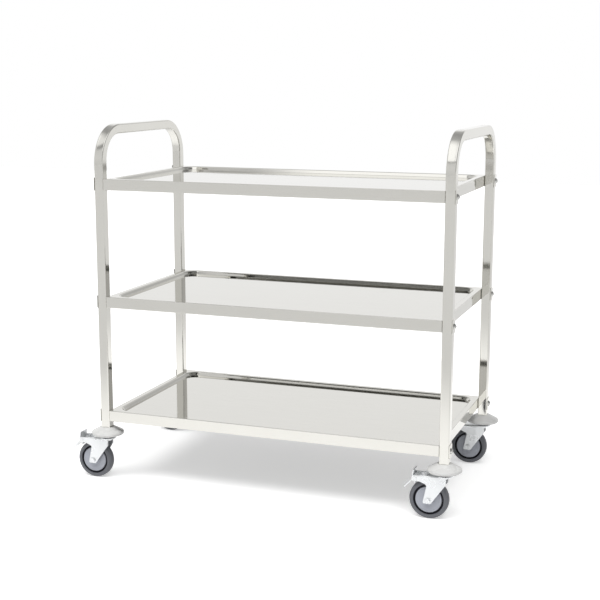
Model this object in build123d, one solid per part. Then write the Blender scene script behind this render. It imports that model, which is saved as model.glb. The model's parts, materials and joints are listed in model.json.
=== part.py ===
from build123d import *
import os
from math import cos, hypot, radians, sin, sqrt

# Three-tier serving trolley. Millimetres, +Z up, floor at Z = 0.
# +X runs along the length, -Y is the front, and all four castors trail towards -X.

# End frames: each is one length of square tube bent into an upside-down U
FRAME_LENGTH = 950.0     # over the outer faces of the two end frames
FRAME_WIDTH = 490.0      # over the outer faces of the front and back legs
FRAME_HEIGHT = 945.0     # floor to the top of the push handles
TUBE = 25.0              # side of the square tube
TUBE_WALL = 1.2
TUBE_CORNER = 3.0        # outside corner radius of the tube
BEND_INSIDE = 69.0       # inside radius of the handle bends

# Shelves: folded sheet trays that sit between the end frames.
# Each is drawn as a tray and a rim that meet where the border turns down.
LOWEST_RIM = 190.0       # rim top of the bottom shelf above the floor
SHELF_PITCH = 309.0      # from one rim top to the next
RIM_HEIGHT = 29.0
RIM_BORDER = 16.0        # flat border round the tray
RIM_BEND = 3.0           # outside radius of the folded edges
TRAY_DEPTH = 9.0         # from the border down to the tray floor
TRAY_CORNER = 36.0       # corner radius of the tray in plan
TRAY_FOOT = 3.0          # radius where the tray wall meets the tray floor
SHEET = 1.0
HEM = 10.0               # width of the lip turned in under the rim

# Shelf fixings: a dome-headed bolt, a plate and a nut at each leg and shelf
BOLT = 8.0               # thread diameter
BOLT_GAP = 0.2           # radial room round a bolt in a drilled hole
THREAD_GAP = 0.05        # radial room left in a modelled thread
HEAD_WIDTH = 15.0
HEAD_HEIGHT = 5.5
SOCKET_RADIUS = 2.9      # across the corners of the hexagon socket, halved
SOCKET_DEPTH = 2.5
BOLT_TAIL = 2.0          # thread showing past the nut
PLATE_HEIGHT = 34.0
PLATE_THICK = 2.0
PLATE_CORNER = 3.0
NUT_RADIUS = 7.5         # across the corners, halved
NUT_HEIGHT = 6.5

# Wheels
WHEEL_R = 49.5
TYRE_WIDTH = 26.0
TYRE_THICK = 11.0
TYRE_SHOULDER = 9.0
RIM_WIDTH = 18.0         # width of the wheel's own rim, under the tyre
RIM_WALL = 4.0
WEB = 7.0
HUB_R = 12.0
HUB_LENGTH = 33.0
BUSH_WALL = 2.5
COVER_MARGIN = 4.5       # dark ring of the rim that shows round the hub cover
COVER_THICK = 2.5
COVER_FACE = 11.5        # from the middle of the wheel to the face of the cover
COVER_EDGE = 1.2
SLEEVE_WALL = 2.0
MOULD_GAP = 0.05         # radial room between moulded pieces of a wheel
RUNNING_GAP = 0.08       # radial room in a turning fit

# Castor forks
TRAIL = 36.5             # from the swivel axis back to the axle
CROWN_RISE = 63.5        # from the axle up to the top of the fork
FORK_SHEET = 2.5
FORK_INSIDE = 35.0
FORK_SHOULDER = 4.0
FORK_TIP = 11.0          # trailing edge of the sides at the axle, behind it
FOOT_DROP = 8.0          # flat foot of the sides, below the axle
FOOT_TOE = 7.5           # where the leading edge meets the foot, ahead of the axle
FOOT_CORNER = 3.5
FORK_FRONT = 43.5        # front of the fork, ahead of the axle
FORK_CREASE = 21.0       # where each side bends in, ahead of the axle
FORK_NARROW = 3.5        # how far each side has bent in at the front
FLANGE_ROOM = 1.6        # from the folded front edges to the swivel nut
KNEE_RISE = 43.0         # top of the sloping leading edge, above the axle
CROWN_R = 21.0           # crown round the swivel pin
EAR_DEPTH = 17.0         # height of the rear arms
EAR_SLOPE = 3.0          # fall of a braked fork's arms towards the rear
WAIST_BACK = 3.0         # trailing edge under the arms, behind the axle
WAIST_DROP = 7.0         # the same corner, below the arms
HAUNCH_BACK = 20.0       # where the arms reach their full depth, behind the axle
PLAIN_REAR = 25.0        # rear end of a plain fork, behind the axle
BRAKE_REAR = 41.0        # rear end of a braked fork, behind the axle
FORK_FILLET = 6.0
EAR_CORNER = 4.0

# Axles
AXLE = 8.0
AXLE_HEAD_R = 7.5
AXLE_HEAD_H = 4.2
AXLE_NUT_H = 7.5
AXLE_TAIL = 1.5

# Swivels and bumpers
STEM = 12.0
FLANGE_R = 18.0
FLANGE_THICK = 6.5
BALL = 5.0
BALL_SINK = 1.0          # depth of a ball in each race
BALL_COUNT = 14
RACE_R = 13.0
RACE_GAP = 0.3           # room over the balls in the upper race
SWIVEL_NUT_R = 10.4
SWIVEL_NUT_H = 6.0
SWIVEL_PLAY = 0.2
STEM_END = 1.0           # thread showing under the swivel nut
BUMPER_R = 43.0
BUMPER_HEIGHT = 20.5
BUMPER_RIM = 8.5
BUMPER_BOSS = 19.0       # radius of the flat under the leg
BUMPER_EDGE = 3.0
PLUG_LENGTH = 24.0
PLUG_GAP = 0.1
STEM_SPARE = 4.0         # room over the stem inside the plug
TIP_CHAMFER = 1.0

# Brake pedals on the two front castors
PIVOT_BACK = 33.0        # pedal pivot behind the axle
PIVOT_DROP = 10.0        # pedal pivot below the fork crown
PEDAL_SHEET = 2.5
PEDAL_SIDE_GAP = 0.3     # from a pedal cheek to the fork arm
PEDAL_BOSS = 7.0
PEDAL_BEND = 4.0
TAB_RISE = 10.0          # release tab above the fork crown
TAB_LEAN = 2.0           # lean of the tab towards the leg
PEDAL_BACK = 39.7        # back of the pedal behind the axle
PEDAL_KNEE = 13.0        # where the foot plate starts, below the fork crown
PEDAL_REACH = 60.0       # tip of the foot plate behind the axle
PEDAL_DIP = 35.0         # tip of the foot plate below the fork crown
SHOE_THICK = 3.0
SHOE_HEIGHT = 6.0
SHOE_GAP = 0.45          # room left over the tyre with the pedal down
PIN = 5.0
PIN_HEAD_R = 4.5
PIN_HEAD_H = 1.6

# Places worked out from the sizes above
LEG_X = (FRAME_LENGTH - TUBE) / 2
LEG_Y = (FRAME_WIDTH - TUBE) / 2
SHELF_LENGTH = FRAME_LENGTH - 2 * TUBE
FORK_OUTSIDE = FORK_INSIDE + 2 * FORK_SHEET
CROWN_TOP = WHEEL_R + CROWN_RISE
BALL_Z = CROWN_TOP + BALL / 2 - BALL_SINK
FLANGE_LOW = CROWN_TOP + BALL - 2 * BALL_SINK
BUMPER_LOW = FLANGE_LOW + FLANGE_THICK
LEG_END = BUMPER_LOW + BUMPER_HEIGHT
PLUG_TOP = min(LEG_END + PLUG_LENGTH, LOWEST_RIM - RIM_HEIGHT / 2 - BOLT)
STEM_TOP = PLUG_TOP - STEM_SPARE
SWIVEL_NUT_TOP = CROWN_TOP - FORK_SHEET - SWIVEL_PLAY
PIVOT_RISE = CROWN_RISE - PIVOT_DROP
BUSH_R = AXLE / 2 + BOLT_GAP + SLEEVE_WALL + RUNNING_GAP + BUSH_WALL
COVER_R = WHEEL_R - TYRE_THICK - COVER_MARGIN

SHELVES = {
    "bottom_shelf": LOWEST_RIM,
    "middle_shelf": LOWEST_RIM + SHELF_PITCH,
    "top_shelf": LOWEST_RIM + 2 * SHELF_PITCH,
}
CORNERS = {
    "front_left": (-LEG_X, -LEG_Y, True),
    "front_right": (LEG_X, -LEG_Y, True),
    "back_left": (-LEG_X, LEG_Y, False),
    "back_right": (LEG_X, LEG_Y, False),
}


def post(outline, low, high):
    """A flat outline in XY raised from one height to another."""
    return Pos(0, 0, low) * extrude(outline, high - low)


def rod(radius, low, high):
    """A round bar along Z."""
    return post(Circle(radius), low, high)


def ring(outer, inner, low, high):
    """A round tube along Z."""
    return post(Circle(outer) - Circle(inner), low, high)


def near(shape, points):
    """The corners of a flat outline that lie nearest to the given points."""
    chosen = []
    for point in points:
        spot = Vector(point[0], point[1])
        chosen.append(min(shape.vertices(), key=lambda v: (Vector(v.X, v.Y) - spot).length))
    return chosen


def side_face(outline):
    """An outline drawn in X and height, stood up in the XZ plane."""
    return Plane.XZ * outline


def through(outline, width):
    """An upright outline given a width along Y, half to each side."""
    return extrude(side_face(outline), width / 2, both=True)


def end_frame(side):
    """One bent tube: leg, push handle and leg, drilled for the shelf bolts."""
    x = side * LEG_X
    handle = FRAME_HEIGHT - TUBE / 2
    corners = [(x, -LEG_Y, LEG_END), (x, -LEG_Y, handle), (x, LEG_Y, handle), (x, LEG_Y, LEG_END)]
    route = FilletPolyline(*corners, radius=BEND_INSIDE + TUBE / 2)
    bore = TUBE - 2 * TUBE_WALL
    outline = RectangleRounded(TUBE, TUBE, TUBE_CORNER)
    outline -= RectangleRounded(bore, bore, TUBE_CORNER - TUBE_WALL)
    tube = sweep(Pos(x, -LEG_Y, LEG_END) * outline, path=route)
    drill = Rot(0, 90, 0) * Cylinder(BOLT / 2 + BOLT_GAP, 2 * TUBE)
    for y in (-LEG_Y, LEG_Y):
        for rim in SHELVES.values():
            tube -= Pos(x, y, rim - RIM_HEIGHT / 2) * drill
    return tube


def tray_block(inset, low, high, corner):
    """A block with the plan of the shelf, drawn in by an inset."""
    plan = RectangleRounded(SHELF_LENGTH - 2 * inset, FRAME_WIDTH - 2 * inset, corner)
    return post(plan, low, high)


def flat_edges(solid, height):
    """The edges of a solid that lie level at one height."""
    return [e for e in solid.edges() if abs(e.bounding_box().min.Z - height) < 1e-4
            and abs(e.bounding_box().max.Z - height) < 1e-4]


def folded_shelf(rim):
    """A whole shelf: recessed floor, flat border, outer rim and a lip turned in."""
    low = rim - RIM_HEIGHT
    floor = rim - TRAY_DEPTH
    skin = tray_block(0, low, rim, RIM_BEND)
    skin = fillet(flat_edges(skin, low) + flat_edges(skin, rim), RIM_BEND - SHEET / 2)
    hollow = tray_block(SHEET, low + SHEET, rim - SHEET, RIM_BEND - SHEET)
    hollow = fillet(flat_edges(hollow, rim - SHEET), (RIM_BEND - SHEET) / 2)
    pan = tray_block(RIM_BORDER - SHEET, floor - SHEET, rim, TRAY_CORNER + SHEET)
    recess = tray_block(RIM_BORDER, floor, rim + RIM_HEIGHT, TRAY_CORNER)
    recess = fillet(flat_edges(recess, floor), TRAY_FOOT)
    mouth = tray_block(HEM, low - RIM_HEIGHT, low + 2 * SHEET, RIM_BEND)
    tray = skin - (hollow - pan) - mouth - recess
    drill = Rot(0, 90, 0) * Cylinder(BOLT / 2 + BOLT_GAP, 2 * RIM_BORDER)
    for x in (-SHELF_LENGTH / 2, SHELF_LENGTH / 2):
        for y in (-LEG_Y, LEG_Y):
            tray -= Pos(x, y, rim - RIM_HEIGHT / 2) * drill
    return tray


def shelf(rim):
    """The tray of a shelf and the rim round it, as two solids that share a flat seam."""
    whole = folded_shelf(rim)
    plan = Rectangle(SHELF_LENGTH - 2 * RIM_BEND, FRAME_WIDTH - 2 * RIM_BEND)
    inside = post(plan, rim - TRAY_DEPTH - 2 * SHEET, rim + SHEET)
    return whole & inside, whole - inside


def fixing_places():
    """Every leg and shelf crossing, with +Z of the fixing pointing outwards."""
    places = []
    for rim in SHELVES.values():
        for side in (-1, 1):
            for y in (-LEG_Y, LEG_Y):
                spot = Pos(side * FRAME_LENGTH / 2, y, rim - RIM_HEIGHT / 2)
                places.append(spot * Rot(0, side * 90, 0))
    return places


def shelf_bolt():
    """Dome-headed bolt; its zero is the outer face of the leg."""
    grip = TUBE + SHEET + NUT_HEIGHT + BOLT_TAIL
    shank = rod(BOLT / 2, -grip, PLATE_THICK)
    shank = chamfer(flat_edges(shank, -grip), TIP_CHAMFER)
    dome_r = (HEAD_HEIGHT ** 2 + (HEAD_WIDTH / 2) ** 2) / (2 * HEAD_HEIGHT)
    dome = Pos(0, 0, PLATE_THICK + HEAD_HEIGHT - dome_r) * Sphere(dome_r)
    head = dome & rod(HEAD_WIDTH, PLATE_THICK, PLATE_THICK + 2 * HEAD_HEIGHT)
    top = PLATE_THICK + HEAD_HEIGHT
    socket = post(RegularPolygon(SOCKET_RADIUS, 6), top - SOCKET_DEPTH, top + HEAD_HEIGHT)
    return shank + head - socket


def saddle_plate():
    """Plate that spreads the load of the bolt head over the leg."""
    plan = RectangleRounded(PLATE_HEIGHT, TUBE, PLATE_CORNER) - Circle(BOLT / 2 + BOLT_GAP)
    return post(plan, 0, PLATE_THICK)


def shelf_nut():
    """Hexagon nut inside the shelf rim."""
    plan = RegularPolygon(NUT_RADIUS, 6) - Circle(BOLT / 2 + THREAD_GAP)
    seat = -TUBE - SHEET
    return post(plan, seat - NUT_HEIGHT, seat)


def foot_plug():
    """Square plug fixed in the end of a leg, bored for the castor stem."""
    side = TUBE - 2 * TUBE_WALL - 2 * PLUG_GAP
    plan = RectangleRounded(side, side, TUBE_CORNER - TUBE_WALL) - Circle(STEM / 2 + THREAD_GAP)
    return post(plan, LEG_END, PLUG_TOP)


def bumper():
    """Round bumper disc with a sloping top, clamped between castor and leg."""
    hole = STEM / 2 + BOLT_GAP
    brim = BUMPER_LOW + BUMPER_RIM
    outline = Polygon((hole, BUMPER_LOW), (BUMPER_R, BUMPER_LOW), (BUMPER_R, brim),
                      (BUMPER_BOSS, LEG_END), (hole, LEG_END), align=None)
    outline = fillet(near(outline, [(BUMPER_R, BUMPER_LOW), (BUMPER_R, brim)]), BUMPER_EDGE)
    return revolve(side_face(outline), Axis.Z)


def race(gap):
    """Ring-shaped cutter for a ball race."""
    return Pos(0, 0, BALL_Z) * Torus(RACE_R, BALL / 2 + gap)


def stem():
    """Threaded stem, upper race flange and swivel pin in one turned piece."""
    pin_end = SWIVEL_NUT_TOP - SWIVEL_NUT_H - STEM_END
    shaft = rod(STEM / 2, pin_end, STEM_TOP)
    shaft = chamfer(flat_edges(shaft, pin_end) + flat_edges(shaft, STEM_TOP), TIP_CHAMFER)
    return shaft + rod(FLANGE_R, FLANGE_LOW, BUMPER_LOW) - race(RACE_GAP)


def swivel_nut():
    """Nut under the fork crown that holds the swivel together."""
    plan = RegularPolygon(SWIVEL_NUT_R, 6) - Circle(STEM / 2 + THREAD_GAP)
    return post(plan, SWIVEL_NUT_TOP - SWIVEL_NUT_H, SWIVEL_NUT_TOP)


def bearing_balls():
    """Loose balls that carry the leg on the fork crown."""
    balls = []
    for i in range(BALL_COUNT):
        angle = radians(360 * i / BALL_COUNT)
        balls.append(Pos(RACE_R * cos(angle), RACE_R * sin(angle), BALL_Z) * Sphere(BALL / 2))
    return balls


def fork_side(rear, slope):
    """Side view of a fork, with the axle at zero and -X trailing."""
    ear_low = CROWN_RISE - EAR_DEPTH
    waist = (-WAIST_BACK, ear_low - WAIST_DROP)
    haunch = (-HAUNCH_BACK, ear_low)
    ear_ends = [(-rear, ear_low), (-rear, CROWN_RISE - slope)]
    knee = (FORK_FRONT, KNEE_RISE)
    lean = (FORK_TIP - WAIST_BACK) / waist[1]
    heel = (-FORK_TIP - lean * FOOT_DROP, -FOOT_DROP)
    toe = (FOOT_TOE, -FOOT_DROP)
    outline = Polygon(heel, waist, haunch, *ear_ends, (0, CROWN_RISE),
                      (FORK_FRONT, CROWN_RISE), knee, toe, align=None)
    outline = fillet(near(outline, [waist]), FORK_FILLET)
    outline = fillet(near(outline, ear_ends), EAR_CORNER)
    return fillet(near(outline, [heel, toe]), FOOT_CORNER)


def fork_plan(rear, inset):
    """Plan of a fork: straight sides that bend in towards the front."""
    wide = FORK_OUTSIDE / 2 - inset
    narrow = wide - FORK_NARROW
    front = FORK_FRONT - inset
    right = [(-rear, -wide), (FORK_CREASE, -wide), (front, -narrow)]
    left = [(x, -y) for x, y in reversed(right)]
    return Polygon(*right, *left, align=None)


def fork_shell(rear, slope):
    """The pressing before drilling: two sides, crown and folded front edges."""
    low = -2 * FORK_TIP
    outer = post(fork_plan(rear, 0), low, CROWN_RISE)
    rear_edge = [e for e in flat_edges(outer, CROWN_RISE) if abs(e.center().X + rear) < 1e-4]
    folds = [e for e in flat_edges(outer, CROWN_RISE) if e not in rear_edge]
    outer = fillet(folds, FORK_SHOULDER)
    shell = outer - post(fork_plan(2 * rear, FORK_SHEET), low, CROWN_RISE - FORK_SHEET)
    gap = 2 * (SWIVEL_NUT_R + FLANGE_ROOM)
    window = Pos(FORK_FRONT, 0, CROWN_RISE - FORK_SHEET) * Box(
        4 * FORK_SHEET, gap, 2 * CROWN_RISE, align=(Align.CENTER, Align.CENTER, Align.MAX))
    return (shell - window) & through(fork_side(rear, slope), 2 * FORK_OUTSIDE)


def fork(braked):
    """Pressed steel fork: crown with the lower race, two sides and rear arms."""
    rear = BRAKE_REAR if braked else PLAIN_REAR
    body = fork_shell(rear, EAR_SLOPE if braked else 0)
    body += Pos(TRAIL, 0, 0) * rod(CROWN_R, CROWN_RISE - FORK_SHEET, CROWN_RISE)
    body -= Rot(90, 0, 0) * Cylinder(AXLE / 2 + BOLT_GAP, 2 * FORK_OUTSIDE)
    if braked:
        body -= Box(2 * rear, FORK_INSIDE, 4 * CROWN_RISE, align=(Align.MAX, Align.CENTER, Align.CENTER))
        pin_hole = Rot(90, 0, 0) * Cylinder(PIN / 2 + THREAD_GAP, 2 * FORK_OUTSIDE)
        body -= Pos(-PIVOT_BACK, 0, PIVOT_RISE) * pin_hole
    body = Pos(-TRAIL, 0, WHEEL_R) * body
    return body - rod(STEM / 2 + RUNNING_GAP, 0, 2 * CROWN_TOP) - race(MOULD_GAP)


def at_axle(shape):
    """A piece turned about Z laid along Y at the axle, its +Z towards the back."""
    return Pos(-TRAIL, 0, WHEEL_R) * Rot(-90, 0, 0) * shape


def axle_bolt():
    """Hexagon bolt through the fork, head to the front."""
    half = FORK_OUTSIDE / 2
    head = post(RegularPolygon(AXLE_HEAD_R, 6), -half - AXLE_HEAD_H, -half)
    head = chamfer(flat_edges(head, -half - AXLE_HEAD_H), TIP_CHAMFER)
    end = half + AXLE_NUT_H + AXLE_TAIL
    shank = rod(AXLE / 2, -half, end)
    shank = chamfer(flat_edges(shank, end), TIP_CHAMFER)
    return at_axle(head + shank)


def axle_nut():
    """Lock nut on the back of the fork."""
    plan = RegularPolygon(AXLE_HEAD_R, 6) - Circle(AXLE / 2 + THREAD_GAP)
    return at_axle(post(plan, FORK_OUTSIDE / 2, FORK_OUTSIDE / 2 + AXLE_NUT_H))


def axle_sleeve():
    """Steel tube clamped between the fork sides, on which the wheel turns."""
    inner = AXLE / 2 + BOLT_GAP
    half = FORK_INSIDE / 2
    return at_axle(ring(inner + SLEEVE_WALL, inner, -half, half))


def wheel_bush():
    """Plain bearing pressed in the hub."""
    half = HUB_LENGTH / 2
    return at_axle(ring(BUSH_R, BUSH_R - BUSH_WALL, -half, half))


def wheel_core():
    """Moulded hub, web and rim."""
    rim_r = WHEEL_R - TYRE_THICK
    hub = ring(HUB_R, BUSH_R + MOULD_GAP, -HUB_LENGTH / 2, HUB_LENGTH / 2)
    web = ring(rim_r - RIM_WALL / 2, HUB_R - MOULD_GAP, -WEB / 2, WEB / 2)
    rim = ring(rim_r, rim_r - RIM_WALL, -RIM_WIDTH / 2, RIM_WIDTH / 2)
    return at_axle(hub + web + rim)


def tyre():
    """Rubber tyre with rounded shoulders, moulded on the rim."""
    body = ring(WHEEL_R, WHEEL_R - TYRE_THICK + MOULD_GAP, -TYRE_WIDTH / 2, TYRE_WIDTH / 2)
    rims = body.edges().filter_by(GeomType.CIRCLE).filter_by(lambda e: e.radius > WHEEL_R - TYRE_SHOULDER)
    return at_axle(fillet(rims, TYRE_SHOULDER))


def hub_covers():
    """A dished disc on each side of the web, standing on a short skirt."""
    covers = []
    for side in (-1, 1):
        face = side * COVER_FACE
        back = side * (COVER_FACE - COVER_THICK)
        foot = side * WEB / 2
        disc = ring(COVER_R, HUB_R + COVER_THICK / 2, min(face, back), max(face, back))
        disc = chamfer([e for e in flat_edges(disc, face) if e.radius > HUB_R * 2], COVER_EDGE)
        skirt = ring(COVER_R, COVER_R - COVER_THICK, min(foot, back), max(foot, back))
        rim_inside = WHEEL_R - TYRE_THICK - RIM_WALL
        skirt &= rod(min(COVER_R, rim_inside - MOULD_GAP), -FORK_INSIDE, FORK_INSIDE)
        covers.append(at_axle(disc + skirt))
    return covers


def pedal_strip():
    """Bent strip of the pedal in side view: release tab, back and foot plate."""
    tab = (TAB_LEAN - PEDAL_BACK, CROWN_RISE + TAB_RISE)
    upper = (-PEDAL_BACK, CROWN_RISE - EAR_SLOPE)
    knee = (-PEDAL_BACK, CROWN_RISE - PEDAL_KNEE)
    tip = (-PEDAL_REACH, CROWN_RISE - PEDAL_DIP)
    return trace(FilletPolyline(tab, upper, knee, tip, radius=PEDAL_BEND), PEDAL_SHEET)


def brake_pedal():
    """Foot pedal: strip, two cheeks on the pivot and a shoe that swings to the tyre."""
    width = FORK_INSIDE - 2 * PEDAL_SIDE_GAP
    strip = through(pedal_strip(), width)
    swing = hypot(PIVOT_BACK, PIVOT_RISE) - WHEEL_R - SHOE_GAP
    drop = sqrt(swing ** 2 - (SHOE_THICK / 2) ** 2)
    pivot = Pos(-PIVOT_BACK, PIVOT_RISE)
    arm = pivot * Pos(0, -drop / 2) * Rectangle(SHOE_THICK, drop)
    reach = PEDAL_BACK - PIVOT_BACK
    link = pivot * Pos(-reach / 2, 0) * Rectangle(reach, PEDAL_BOSS)
    cheek = pivot * Circle(PEDAL_BOSS) + arm + link
    inside = width - 2 * PEDAL_SHEET
    cheeks = through(cheek, width) - through(cheek, inside)
    shoe = through(pivot * Pos(0, SHOE_HEIGHT / 2 - drop) * Rectangle(SHOE_THICK, SHOE_HEIGHT), width)
    pedal = strip + cheeks + shoe
    bore = Rot(90, 0, 0) * Cylinder(PIN / 2 + RUNNING_GAP, 2 * FORK_OUTSIDE)
    pedal -= Pos(-PIVOT_BACK, 0, PIVOT_RISE) * bore
    return Pos(-TRAIL, 0, WHEEL_R) * pedal


def brake_pin():
    """Rivet through the fork arms that carries the pedal."""
    half = FORK_OUTSIDE / 2
    pin = rod(PIN / 2, -half, half)
    heads = rod(PIN_HEAD_R, -half - PIN_HEAD_H, -half) + rod(PIN_HEAD_R, half, half + PIN_HEAD_H)
    place = Pos(-TRAIL - PIVOT_BACK, 0, WHEEL_R + PIVOT_RISE)
    return place * Rot(-90, 0, 0) * (pin + heads)


def castor(braked):
    """The pieces of one castor, with its swivel axis on Z."""
    pieces = {
        "bumper": [bumper()],
        "bearing_balls": bearing_balls(),
        "fork": [fork(braked)],
        "axle_bolt": [axle_bolt()],
        "axle_sleeve": [axle_sleeve()],
        "axle_nut": [axle_nut()],
        "wheel_bush": [wheel_bush()],
        "wheel_core": [wheel_core()],
        "tyre": [tyre()],
        "hub_covers": hub_covers(),
    }
    if braked:
        pieces["brake_pedal"] = [brake_pedal()]
        pieces["brake_pin"] = [brake_pin()]
    return pieces


def trolley():
    """Every node of the trolley, with the middle of the frame over the origin."""
    nodes = {"left_end_frame": [end_frame(-1)], "right_end_frame": [end_frame(1)]}
    for name, rim in SHELVES.items():
        tray, edge = shelf(rim)
        nodes[name + "_tray"] = [tray]
        nodes[name + "_rim"] = [edge]
    bolt, plate, nut = shelf_bolt(), saddle_plate(), shelf_nut()
    nodes["shelf_bolts"] = [place * bolt for place in fixing_places()]
    nodes["saddle_plates"] = [place * plate for place in fixing_places()]
    nodes["shelf_nuts"] = [place * nut for place in fixing_places()]
    plug, pillar, keeper = foot_plug(), stem(), swivel_nut()
    nodes["foot_plugs"] = [Pos(x, y, 0) * plug for x, y, braked in CORNERS.values()]
    nodes["castor_stems"] = [Pos(x, y, 0) * pillar for x, y, braked in CORNERS.values()]
    nodes["swivel_nuts"] = [Pos(x, y, 0) * keeper for x, y, braked in CORNERS.values()]
    for corner, (x, y, braked) in CORNERS.items():
        for piece, solids in castor(braked).items():
            nodes[corner + "_" + piece] = [Pos(x, y, 0) * solid for solid in solids]
    return nodes


def middle_of(nodes):
    """Half way along X between the two ends of the whole trolley."""
    boxes = [solid.bounding_box() for solids in nodes.values() for solid in solids]
    return (min(box.min.X for box in boxes) + max(box.max.X for box in boxes)) / 2


def main():
    """Stand the trolley with the middle of its box over the origin and save each node."""
    nodes = trolley()
    shift = Pos(-middle_of(nodes), 0, 0)
    os.makedirs("parts", exist_ok=True)
    for name, solids in nodes.items():
        export_step(Compound(children=[shift * solid for solid in solids]), "parts/" + name + ".step")


main()
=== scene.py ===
# %% [markdown]
# # A three-tier serving trolley, dressed
# Two bent square tubes, three folded trays and four castors make this trolley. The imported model
# gives every piece its place and size in one shared frame. This file gives the pieces their finish,
# and makes again, as finer surfaces, the ones whose mirror shine shows every edge.

# %% Load the frame
import json
import math

import bmesh
import bpy
import numpy as np
from mathutils import Matrix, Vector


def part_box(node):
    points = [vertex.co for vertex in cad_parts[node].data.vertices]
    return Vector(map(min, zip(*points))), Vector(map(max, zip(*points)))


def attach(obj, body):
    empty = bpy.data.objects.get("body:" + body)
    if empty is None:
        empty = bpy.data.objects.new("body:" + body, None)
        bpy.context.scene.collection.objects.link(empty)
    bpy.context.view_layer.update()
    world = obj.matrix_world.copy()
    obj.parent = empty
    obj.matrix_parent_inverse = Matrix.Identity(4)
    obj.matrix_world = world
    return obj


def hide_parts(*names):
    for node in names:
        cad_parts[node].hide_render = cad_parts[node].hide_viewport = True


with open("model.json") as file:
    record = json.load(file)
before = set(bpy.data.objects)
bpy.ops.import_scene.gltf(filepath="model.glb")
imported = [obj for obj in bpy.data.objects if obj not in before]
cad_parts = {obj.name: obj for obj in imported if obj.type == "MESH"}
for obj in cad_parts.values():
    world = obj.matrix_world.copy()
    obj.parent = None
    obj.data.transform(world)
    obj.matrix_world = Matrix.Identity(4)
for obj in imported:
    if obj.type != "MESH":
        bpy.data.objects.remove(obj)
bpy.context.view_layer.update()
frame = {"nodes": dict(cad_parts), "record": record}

MM = 0.001

# %% [markdown]
# ## The camera
# The photograph was taken from the right of the middle, a little above the push handles, with a
# long lens. A camera could be aimed with a constraint, but a solved view has its own turn and tilt,
# so the three angles are set straight from the solution: tilt, then roll, then the turn about Z.

# %% Place the camera
CAMERA_PLACE = (1.1204, -3.0307, 1.0792)
CAMERA_TURN, CAMERA_DOWN, CAMERA_ROLL = np.radians([19.787, 10.676, 0.108])
SENSOR_WIDTH, FOCAL_LENGTH, SHIFT_UP = 36.0, 73.11, 0.0033
lens = bpy.data.cameras.new("trolley_camera")
lens.sensor_width, lens.lens, lens.shift_y = SENSOR_WIDTH, FOCAL_LENGTH, SHIFT_UP
lens.dof.use_dof = False
camera = bpy.data.objects.new("trolley_camera", lens)
aim = Matrix.Rotation(CAMERA_TURN, 4, "Z") @ Matrix.Rotation(math.pi / 2 - CAMERA_DOWN, 4, "X")
camera.matrix_world = Matrix.Translation(CAMERA_PLACE) @ aim @ Matrix.Rotation(CAMERA_ROLL, 4, "Z")
bpy.context.scene.collection.objects.link(camera)
bpy.context.scene.camera = camera
print("camera at", CAMERA_PLACE)

# %% [markdown]
# ## Measures from the frame
# Every new piece takes its size and place from the boxes of the nodes that it stands for, so it
# can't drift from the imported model. Millimetres are easier to read than metres here, so the boxes
# are turned into millimetres once, and the meshes go back to metres when they are made.


# %% Read the sizes
def box_mm(node):
    """Lowest and highest corner of a node, in millimetres."""
    low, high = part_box(node)
    return np.array(low) / MM, np.array(high) / MM


CORNERS = ("front_left", "front_right", "back_left", "back_right")
SHELVES = ("bottom_shelf", "middle_shelf", "top_shelf")
END_FRAMES = ("left_end_frame", "right_end_frame")
left_low, left_high = box_mm("left_end_frame")
TUBE = left_high[0] - left_low[0]
HALF_TUBE = TUBE / 2
FRAME_HALF_WIDTH = left_high[1]
LEG_Y = FRAME_HALF_WIDTH - HALF_TUBE
HANDLE_TOP = left_high[2]
LEG_FOOT = left_low[2]
print("tube", round(TUBE, 2), "handle top", round(HANDLE_TOP, 1), "leg foot", round(LEG_FOOT, 1))

# %% [markdown]
# ## From formula to mesh
# A surface here is a grid of points: rows along one parameter, columns along the other. The squares
# between neighbouring points become faces. A closed shape repeats its first column at the end, and
# a pole is a row of equal points; welding points that coincide closes both.


# %% Mesh helpers
WELD_GAP, SLIVER = 1e-6, 1e-7
CREASE = 28.0


def squares(rows, cols):
    """Corner numbers of the squares between neighbouring points of a rows by cols grid."""
    first = (np.arange(rows - 1)[:, None] * cols + np.arange(cols - 1)).ravel()
    return np.stack([first, first + 1, first + cols + 1, first + cols], axis=1)


def lengths(grid):
    """Distance in metres along the rows and along the columns, as a pattern's own coordinates."""
    down = np.linalg.norm(np.diff(grid, axis=0), axis=2).mean(axis=1)
    across = np.linalg.norm(np.diff(grid, axis=1), axis=2).mean(axis=0)
    along = np.concatenate([[0], np.cumsum(down)])
    around = np.concatenate([[0], np.cumsum(across)])
    return np.stack(np.meshgrid(along, around, indexing="ij"), axis=-1).reshape(-1, 2) * MM


def weld(mesh):
    """Joins points that coincide and turns every face outwards."""
    shell = bmesh.new()
    shell.from_mesh(mesh)
    bmesh.ops.remove_doubles(shell, verts=shell.verts, dist=WELD_GAP)
    bmesh.ops.dissolve_degenerate(shell, edges=shell.edges, dist=SLIVER)
    bmesh.ops.recalc_face_normals(shell, faces=shell.faces)
    shell.to_mesh(mesh)
    shell.free()


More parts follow.
